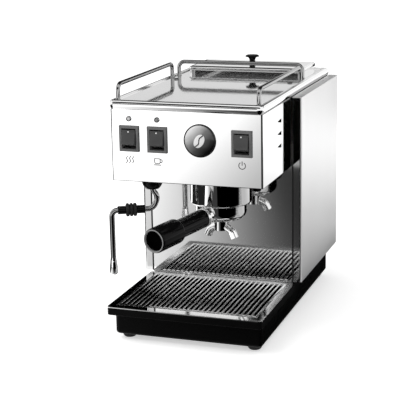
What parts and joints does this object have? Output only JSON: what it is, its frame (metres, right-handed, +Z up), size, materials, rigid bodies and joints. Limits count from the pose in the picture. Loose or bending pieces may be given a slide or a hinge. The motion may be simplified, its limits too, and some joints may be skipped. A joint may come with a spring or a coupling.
{
  "type": "espresso machine",
  "caption": "Box-shaped home espresso machine with a bayonet filter holder, swivelling steam wand, rocker switches, drip tray, railed cup shelf and rear water reservoir.",
  "frame": {"origin": "middle of the bounding box's underside, on the table between the feet", "axes": "+X to the machine's right as one faces it, +Y to the back, +Z up"},
  "size_m": [0.238, 0.4553, 0.3545],
  "materials": {
    "black_enamel": "satin black enamel",
    "black_rubber": "moulded rubber",
    "polished_steel": "mirror-polished sheet",
    "satin_steel": "finely brushed sheet",
    "bright_chrome": "polished chrome plate",
    "zinc_steel": "zinc-plated",
    "black_plastic": "fine-grained black moulding",
    "gloss_black": "gloss black moulding",
    "clear_plastic": "translucent tank",
    "lamp_lens": "lamp lens",
    "boiler_copper": "drawn copper",
    "fitting_brass": "turned brass",
    "hose_silicone": "silicone",
    "card_grey": "grey casing"
  },
  "bodies": {
    "machine": {"base_frame": "black_enamel", "rubber_feet": "black_rubber", "backsplash_plate": "polished_steel", "seam_seals": "black_rubber", "side_panel_left": "satin_steel", "side_panel_right": "satin_steel", "back_panel": "satin_steel", "cord_gland": "black_plastic", "head_shell": "polished_steel", "head_floor": "satin_steel", "cup_tray": "polished_steel", "cup_rail_left": "bright_chrome", "cup_rail_right": "bright_chrome", "cup_rail_rear": "bright_chrome", "rail_nuts": "zinc_steel", "cover_screws": "bright_chrome", "water_tank": "clear_plastic", "inner_shelf": "zinc_steel", "feed_hose": "hose_silicone", "pump": "card_grey", "pump_bracket": "zinc_steel", "boiler_shell": "boiler_copper", "heating_element": "fitting_brass", "safety_valve": "fitting_brass", "pressure_switch": "black_plastic", "inlet_pipe": "boiler_copper", "steam_pipe": "boiler_copper", "group_pipe": "boiler_copper", "steam_solenoid": "fitting_brass", "control_box": "card_grey", "steam_switch_housing": "gloss_black", "coffee_switch_housing": "gloss_black", "power_switch_housing": "gloss_black", "indicator_lamps": "lamp_lens", "front_badge": "gloss_black", "group_head": "bright_chrome", "group_gasket": "black_rubber", "shower_screen": "satin_steel", "screen_screw": "satin_steel", "group_bolts": "zinc_steel", "wand_socket": "gloss_black"},
    "portafilter": {"filter_holder": "bright_chrome", "filter_basket": "satin_steel", "basket_spring": "satin_steel", "double_spout": "bright_chrome", "handle_ferrule": "bright_chrome", "handle_grip": "black_plastic"},
    "steam_switch": {"steam_rocker": "gloss_black"},
    "coffee_switch": {"coffee_rocker": "gloss_black"},
    "power_switch": {"power_rocker": "gloss_black"},
    "wand_swivel": {"wand_ball_seat": "black_plastic"},
    "steam_wand": {"wand_tube": "bright_chrome", "wand_nuts": "black_plastic", "wand_grip": "black_plastic", "wand_nozzle": "bright_chrome"},
    "drip_tray": {"drip_pan": "black_plastic", "tray_surround": "polished_steel"},
    "grid": {"drip_grid": "satin_steel"},
    "lid": {"reservoir_lid": "polished_steel", "lid_knob": "gloss_black"}
  },
  "joints": [
    {"name": "portafilter_turn", "type": "hinge", "parent": "machine", "child": "portafilter", "pos_m": [0.0256, -0.0736, 0.19], "axis": [0, 0, 1], "range_deg": [-30, 15]},
    {"name": "steam_switch_press", "type": "hinge", "parent": "machine", "child": "steam_switch", "pos_m": [-0.0785, -0.1331, 0.2795], "axis": [1, 0, 0], "range_deg": [0, 30]},
    {"name": "coffee_switch_press", "type": "hinge", "parent": "machine", "child": "coffee_switch", "pos_m": [-0.039, -0.1331, 0.2795], "axis": [1, 0, 0], "range_deg": [0, 30]},
    {"name": "power_switch_press", "type": "hinge", "parent": "machine", "child": "power_switch", "pos_m": [0.077, -0.1331, 0.2795], "axis": [1, 0, 0], "range_deg": [0, 30]},
    {"name": "wand_swing", "type": "hinge", "parent": "machine", "child": "wand_swivel", "pos_m": [-0.0575, -0.1156, 0.2135], "axis": [0, 0, 1], "range_deg": [-75, 80]},
    {"name": "wand_tilt", "type": "hinge", "parent": "wand_swivel", "child": "steam_wand", "pos_m": [-0.0575, -0.1156, 0.2135], "axis": [0.4695, -0.8829, 0], "range_deg": [-8, 8]},
    {"name": "drip_tray_lift", "type": "slide", "parent": "machine", "child": "drip_tray", "axis": [0, 0, 1], "range_m": [0, 0.018]},
    {"name": "drip_grid_lift", "type": "slide", "parent": "drip_tray", "child": "grid", "axis": [0, 0, 1], "range_m": [0, 0.012]},
    {"name": "reservoir_lid_lift", "type": "slide", "parent": "machine", "child": "lid", "axis": [0, 0, 1], "range_m": [0, 0.06]}
  ]
}
